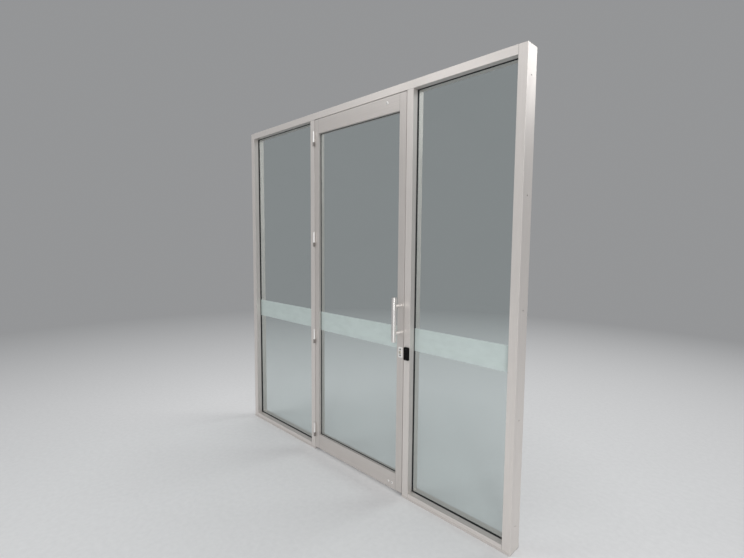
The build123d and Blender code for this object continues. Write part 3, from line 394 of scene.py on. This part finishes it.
def dress_frame():
    for number, name in enumerate(("left_jamb", "right_jamb", "hinge_mullion", "lock_mullion")):
        dress_length(name, ALUMINIUM, Z_AXIS, seed=3.0 * number)
    for number, name in enumerate(("head", "left_sill", "right_sill", "head_filler")):
        dress_length(name, ALUMINIUM, X_AXIS, seed=17.0 + 3.0 * number)
    # Painted shade: the subsills are the frame's aluminium made a tenth darker, for how dark they show low
    # at the floor
    subsill = streaked("anodised_subsill", shade(ALUMINIUM, 0.9), X_AXIS, seed=41.0)
    dress(["left_subsill", "right_subsill"], subsill)
    for name, axis in (("hinge_stop", Z_AXIS), ("lock_stop", Z_AXIS), ("head_stop", X_AXIS)):
        dress([name], streaked("anodised_" + name, ALUMINIUM, axis, seed=51.0 + axis))


def dress_leaf():
    # Painted shade: the leaf's lengths take the darker copy of the frame's aluminium
    for number, name in enumerate(("hinge_stile", "lock_stile")):
        dress_length(name, LEAF_ALUMINIUM_SHADED, Z_AXIS, seed=61.0 + 3.0 * number)
    for number, name in enumerate(("top_rail", "bottom_rail")):
        dress_length(name, LEAF_ALUMINIUM_SHADED, X_AXIS, seed=71.0 + 3.0 * number, inset=RAIL_OVERLAP)
    dress(["leaf_beads"], streaked("anodised_beads", LEAF_ALUMINIUM_SHADED, Z_AXIS, seed=81.0))


def dress_glazing():
    clear = see_through("clear_glass_sheet", GLASS, roughness=0.0, smear=0.05)
    dress(["left_glass", "right_glass", "leaf_glass"], clear)
    for name in ("side_light_films", "leaf_film"):
        dress([name], frosted("frosted_" + name, FILM, span(name, Y_AXIS)))
    rubber = grained("gasket_rubber_black", RUBBER, metallic=0.0, roughness=0.62, spread=0.25, scale=420.0)
    dress(["light_front_gaskets", "light_rear_gaskets", "leaf_front_gaskets", "leaf_rear_gaskets"], rubber)
    dress(["stop_seals"], rubber)
    blocks = grained("block_plastic_dark", BLOCK_PLASTIC, metallic=0.0, roughness=0.5)
    dress(["light_setting_blocks", "leaf_setting_blocks"], blocks)


def dress_hardware():
    hinge = streaked("hinge_satin", BRIGHT_STEEL, Z_AXIS, seed=91.0, roughness=0.42, metallic=0.6)
    dress([f"hinge_{number}_{side}_leaf" for number in (1, 2, 3, 4) for side in ("frame", "door")], hinge)
    dress(["hinge_pins"], grained("pin_satin", BRIGHT_STEEL, metallic=0.8, roughness=0.36, spread=0.06))
    screws = grained("screw_zinc", STEEL, metallic=1.0, roughness=0.32, spread=0.12, scale=900.0)
    dress(["frame_screws", "leaf_hinge_screws", "handle_bolts", "rail_tie_rods"], screws)
    # Painted highlight: the rail bolts take a brighter, less metallic steel than the other screws, in place
    # of the shine on their domed heads
    bolts = grained("bolt_steel_painted_highlight", BRIGHT_STEEL, metallic=0.4, roughness=0.30, spread=0.06, scale=900.0)
    dress(["rail_bolts"], bolts)
    black = grained("screw_black", SCREW_BLACK, metallic=0.0, roughness=0.45, spread=0.2, scale=900.0,
                    specular=0.2)
    dress(["lock_screws"], black)
    dress(["corner_spigots"], grained("spigot_mill", MILL_ALUMINIUM, metallic=1.0, roughness=0.42))
    bar = streaked("handle_brushed", GRIP_STEEL, Z_AXIS, seed=101.0, roughness=0.27, metallic=0.8)
    dress(["handle_grip", "handle_caps"], bar)
    posts = streaked("post_brushed", BRIGHT_STEEL, Y_AXIS, seed=111.0, roughness=0.27, metallic=0.7)
    dress(["handle_posts"], posts)
    plate = streaked("lock_satin", STEEL, Z_AXIS, seed=121.0, roughness=0.34, metallic=1.0)
    dress(["lock_case", "lock_faceplate", "lock_bolt", "strike_plate"], plate)
    trim = streaked("trim_satin", BRIGHT_STEEL, Z_AXIS, seed=131.0, roughness=0.36, metallic=0.5)
    dress(["front_escutcheon", "rear_escutcheon", "thumb_turn"], trim)
    cylinder = grained("cylinder_nickel", NICKEL, metallic=1.0, roughness=0.30, spread=0.06, scale=700.0)
    dress(["key_cylinder", "key_plug"], cylinder)
    shell = grained("reader_gloss", BLACK_GLOSS, metallic=0.0, roughness=0.28, spread=0.2, scale=240.0,
                    depth=0.00002, specular=0.08)
    dress(["reader_base", "reader_cover"], shell)


# Small pieces that the CAD leaves to the looks

def add_piece(name, form, material, body):
    """Turns a finished mesh into a named piece that moves with a body."""
    bmesh.ops.recalc_face_normals(form, faces=form.faces)
    bmesh.ops.translate(form, verts=form.verts, vec=SHIFT)
    mesh = bpy.data.meshes.new(name)
    form.to_mesh(mesh)
    form.free()
    mesh.materials.append(material)
    piece = bpy.data.objects.new(name, mesh)
    bpy.context.scene.collection.objects.link(piece)
    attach(piece, body)


def cross_faces(reach, half):
    """A driver's cross as one square and four tapering arms."""
    faces = [[(half, half), (-half, half), (-half, -half), (half, -half)]]
    for quarter in range(4):
        spin = Matrix.Rotation(quarter * math.pi / 2, 2)
        arm = ((half, -half), (reach, -ARM_TAPER * half), (reach, ARM_TAPER * half), (half, half))
        faces.append([tuple(spin @ Vector(point)) for point in arm])
    return faces


def hex_faces(radius):
    """A hexagon as six wedges round its middle."""
    turns = [math.pi / 3 * side for side in range(6)]
    rim = [(radius * math.cos(turn), radius * math.sin(turn)) for turn in turns]
    return [[(0.0, 0.0), rim[side], rim[(side + 1) % 6]] for side in range(6)]


def add_recess(form, faces, place, away, dome):
    """Lays a recess, a thin sheet of painted shade, on a screw head whose crown is at place, bent to the
    head's dome radius.
    """
    away = Vector(away)
    side = away.cross(Vector((0.0, 0.0, 1.0)))
    up = side.cross(away)
    sheet = []
    for face in faces:
        corners = []
        for u, v in face:
            height = RECESS_LIFT - (u * u + v * v) / (2 * dome)
            corners.append(form.verts.new(Vector(place) + side * u + up * v + away * height))
        sheet.append(form.faces.new(corners))
    own = list({corner for face in sheet for corner in face.verts})
    bmesh.ops.remove_doubles(form, verts=own, dist=WELD)


def add_recesses(name, faces, heads, body, material, dome=FLAT):
    """One piece with the painted shade of the recesses of several alike screw heads, each a place and a
    direction.
    """
    form = bmesh.new()
    for place, away in heads:
        add_recess(form, faces, place, away, dome)
    bmesh.ops.solidify(form, geom=form.faces[:], thickness=RECESS_DEPTH)
    add_piece(name, form, material, body)


def make_recesses():
    # Painted shade: each recess is a dark sheet laid on its head
    dark = grained("recess_painted_shade", RECESS_SHADE, metallic=0.0, roughness=0.55, spread=0.2, scale=900.0)
    small = cross_faces(*SMALL_CROSS)
    hinge_x = HINGE_AXIS[0]
    hinge_z = [height + step for height in HINGE_HEIGHTS for step in HINGE_SCREW_STEPS]
    heads = [((hinge_x - HINGE_FACE_GAP, HINGE_SCREW_Y, z), RIGHT) for z in hinge_z]
    add_recesses("hinge_recesses_frame", small, heads, "frame", dark)
    heads = [((hinge_x + HINGE_FACE_GAP, HINGE_SCREW_Y, z), LEFT) for z in hinge_z]
    add_recesses("hinge_recesses_leaf", small, heads, "leaf", dark)
    heads = [((STRIKE_X, EDGE_SCREW_Y, BOLT_HEIGHT + step), LEFT) for step in STRIKE_STEPS]
    add_recesses("strike_recesses", small, heads, "frame", dark)
    lock_x, lock_z = LOCK_PLACE
    middle = (lock_z + BOLT_HEIGHT) / 2
    heads = [((FACEPLATE_X, EDGE_SCREW_Y, middle + step), RIGHT) for step in FACEPLATE_STEPS]
    add_recesses("faceplate_recesses", small, heads, "leaf", dark)
    heads = [((lock_x, PLATE_FRONT_CROWN, lock_z + step), FRONT) for step in PLATE_STEPS]
    heads += [((lock_x, PLATE_REAR_CROWN, lock_z + step), REAR) for step in PLATE_STEPS]
    add_recesses("escutcheon_recesses", cross_faces(*WIDE_CROSS), heads, "leaf", dark, dome=PLATE_DOME)
    heads = [(place, FRONT) for place in LOW_BOLTS]
    add_recesses("low_bolt_recesses", hex_faces(SMALL_HEX), heads, "leaf", dark, dome=LOW_BOLT_DOME)
    heads = [(TOP_BOLT, FRONT)]
    add_recesses("top_bolt_recess", hex_faces(LARGE_HEX), heads, "leaf", dark, dome=TOP_BOLT_DOME)
    x, y, z = HANDLE_BOLT
    heads = [((x, y, z + step), REAR) for step in HANDLE_BOLT_STEPS]
    add_recesses("handle_bolt_recesses", hex_faces(SMALL_HEX), heads, "leaf", dark, dome=HANDLE_BOLT_DOME)


def make_sleeves():
    """A thin dark open sleeve laid round the lowest knuckle of each hinge, which makes that knuckle show
    dark.
    """
    knuckle_darkening = grained("sleeve_dark", SLEEVE, metallic=0.0, roughness=0.42, spread=0.15, scale=500.0)
    axis_x, axis_y = HINGE_AXIS
    low, high = LOW_KNUCKLE
    rings = [(proud, low + inset) for proud, inset in SLEEVE_RINGS]
    rings += [(proud, high - inset) for proud, inset in reversed(SLEEVE_RINGS)]
    turns = [math.radians(turn) for turn in range(-SLEEVE_HALF_TURN, SLEEVE_HALF_TURN + 1, SLEEVE_STEP)]
    for number, middle in enumerate(HINGE_HEIGHTS, start=1):
        form = bmesh.new()
        rows = []
        for proud, z in rings:
            radius = KNUCKLE_R + proud
            row = [(axis_x + radius * math.sin(turn), axis_y - radius * math.cos(turn), middle + z)
                   for turn in turns]
            rows.append([form.verts.new(point) for point in row])
        for lower, upper in zip(rows, rows[1:]):
            for index in range(len(lower) - 1):
                form.faces.new((lower[index], lower[index + 1], upper[index + 1], upper[index]))
        bmesh.ops.recalc_face_normals(form, faces=form.faces)
        bmesh.ops.solidify(form, geom=form.faces[:], thickness=-SLEEVE_WALL)
        add_piece(f"hinge_sleeve_{number}", form, knuckle_darkening, "frame")


def make_lens():
    """A small smoked window near the top of the reader."""
    x, y, z = READER_PLACE
    form = bmesh.new()
    rim = []
    for centre, start in ((LENS_HALF, -90), (-LENS_HALF, 90)):
        for step in range(13):
            angle = math.radians(start + 15 * step)
            rim.append(form.verts.new((x + centre + LENS_R * math.cos(angle), y + LENS_SUNK,
                                       z + LENS_RISE + LENS_R * math.sin(angle))))
    face = form.faces.new(rim)
    raised = bmesh.ops.extrude_face_region(form, geom=[face])["geom"]
    top = [item for item in raised if isinstance(item, bmesh.types.BMVert)]
    bmesh.ops.translate(form, verts=top, vec=(0.0, -LENS_THICK, 0.0))
    edges = [item for item in raised if isinstance(item, bmesh.types.BMEdge)]
    bmesh.ops.bevel(form, geom=edges, offset=LENS_EDGE, segments=3, profile=0.5, affect="EDGES")
    smoked = grained("lens_smoked", SMOKED, metallic=0.0, roughness=0.10, spread=0.1, scale=300.0)
    add_piece("reader_lens", form, smoked, "frame")


# Stage

def backdrop_strength(tree):
    """1 for rays that show the background, more for the soft light that it gives."""
    rays = tree.nodes.new("ShaderNodeLightPath")
    total = rays.outputs["Is Camera Ray"]
    for name in ("Is Glossy Ray", "Is Transmission Ray"):
        node = tree.nodes.new("ShaderNodeMath")
        node.operation = "MAXIMUM"
        tree.links.new(total, node.inputs[0])
        tree.links.new(rays.outputs[name], node.inputs[1])
        total = node.outputs[0]
    ranged = tree.nodes.new("ShaderNodeMapRange")
    tree.links.new(total, ranged.inputs["Value"])
    ranged.inputs["To Min"].default_value = BACKDROP_LIGHT
    ranged.inputs["To Max"].default_value = 1.0
    return ranged.outputs["Result"]


def make_world():
    world = bpy.data.worlds.new("studio")
    bpy.context.scene.world = world
    world.use_nodes = True
    tree = world.node_tree
    background = tree.nodes["Background"]
    background.inputs["Color"].default_value = (*BACKDROP, 1.0)
    tree.links.new(backdrop_strength(tree), background.inputs["Strength"])


def make_floor():
    """A pale floor that fades into the background far from the object."""
    mesh = bpy.data.meshes.new("studio_floor")
    ring = bmesh.new()
    bmesh.ops.create_circle(ring, cap_ends=True, radius=FLOOR_RADIUS, segments=96)
    ring.to_mesh(mesh)
    ring.free()
    floor = bpy.data.objects.new("studio_floor", mesh)
    bpy.context.scene.collection.objects.link(floor)
    floor.location.z = -FLOOR_DROP
    paint = Paint("studio_floor", FLOOR, roughness=0.75)
    speck = paint.noise((30.0, 30.0, 30.0), detail=5.0)
    paint.feed("Base Color", paint.mix(paint.ranged(speck, 0.3, 0.7, 0.0, 1.0), FLOOR_LOW, FLOOR_HIGH))
    length = paint.add("ShaderNodeVectorMath", operation="LENGTH")
    paint.join(paint.place, length.inputs[0])
    fade = paint.ranged(length.outputs["Value"], *FLOOR_FADE, 0.0, 1.0)
    glow = paint.add("ShaderNodeEmission")
    glow.inputs["Color"].default_value = (*BACKDROP, 1.0)
    paint.join(backdrop_strength(paint.tree), glow.inputs["Strength"])
    paint.surface(paint.blend(fade, paint.shader.outputs["BSDF"], glow.outputs["Emission"]))
    mesh.materials.append(paint.material)


def unlit_panes():
    """A collection that keeps the panes out of a lamp's light, so that no lamp shows in the glass."""
    panes = bpy.data.collections.new("panes")
    for name in ("left_glass", "right_glass", "leaf_glass"):
        panes.objects.link(nodes[name])
    for entry in panes.collection_objects:
        entry.light_linking.link_state = "EXCLUDE"
    return panes


def make_lamp(name, place, target, size, power, panes):
    """A soft rectangular light that faces a point and leaves the panes out."""
    data = bpy.data.lights.new(name, "AREA")
    data.shape = "RECTANGLE"
    data.size, data.size_y = size
    data.energy = power
    lamp = bpy.data.objects.new(name, data)
    bpy.context.scene.collection.objects.link(lamp)
    lamp.location = place
    lamp.rotation_euler = (Vector(target) - Vector(place)).to_track_quat("-Z", "Y").to_euler()
    lamp.light_linking.receiver_collection = panes


def make_lamps():
    panes = unlit_panes()
    for name, place, target, size, power in LAMPS:
        make_lamp(name, place, target, size, power, panes)


def make_camera():
    """The photograph's viewpoint: yaw left of +Y, pitch down, roll about the view axis."""
    yaw, pitch, roll = (math.radians(angle) for angle in (CAMERA_YAW, CAMERA_PITCH, CAMERA_ROLL))
    ahead = Vector((-math.sin(yaw) * math.cos(pitch), math.cos(yaw) * math.cos(pitch), -math.sin(pitch)))
    level = Vector((math.cos(yaw), math.sin(yaw), 0.0))
    down = ahead.cross(level)
    right = level * math.cos(roll) + down * math.sin(roll)
    below = down * math.cos(roll) - level * math.sin(roll)
    data = bpy.data.cameras.new("camera")
    data.lens = CAMERA_LENS
    data.sensor_width = CAMERA_SENSOR
    data.sensor_fit = "HORIZONTAL"
    data.clip_start = 0.05
    camera = bpy.data.objects.new("camera", data)
    bpy.context.scene.collection.objects.link(camera)
    turn = Matrix((right, -below, -ahead)).transposed().to_4x4()
    camera.matrix_world = Matrix.Translation(CAMERA_PLACE) @ turn
    bpy.context.scene.camera = camera


dress_frame()
dress_leaf()
dress_glazing()
dress_hardware()
make_recesses()
make_sleeves()
make_lens()
make_world()
make_floor()
make_lamps()
make_camera()
bpy.context.scene.view_settings.view_transform = "Standard"
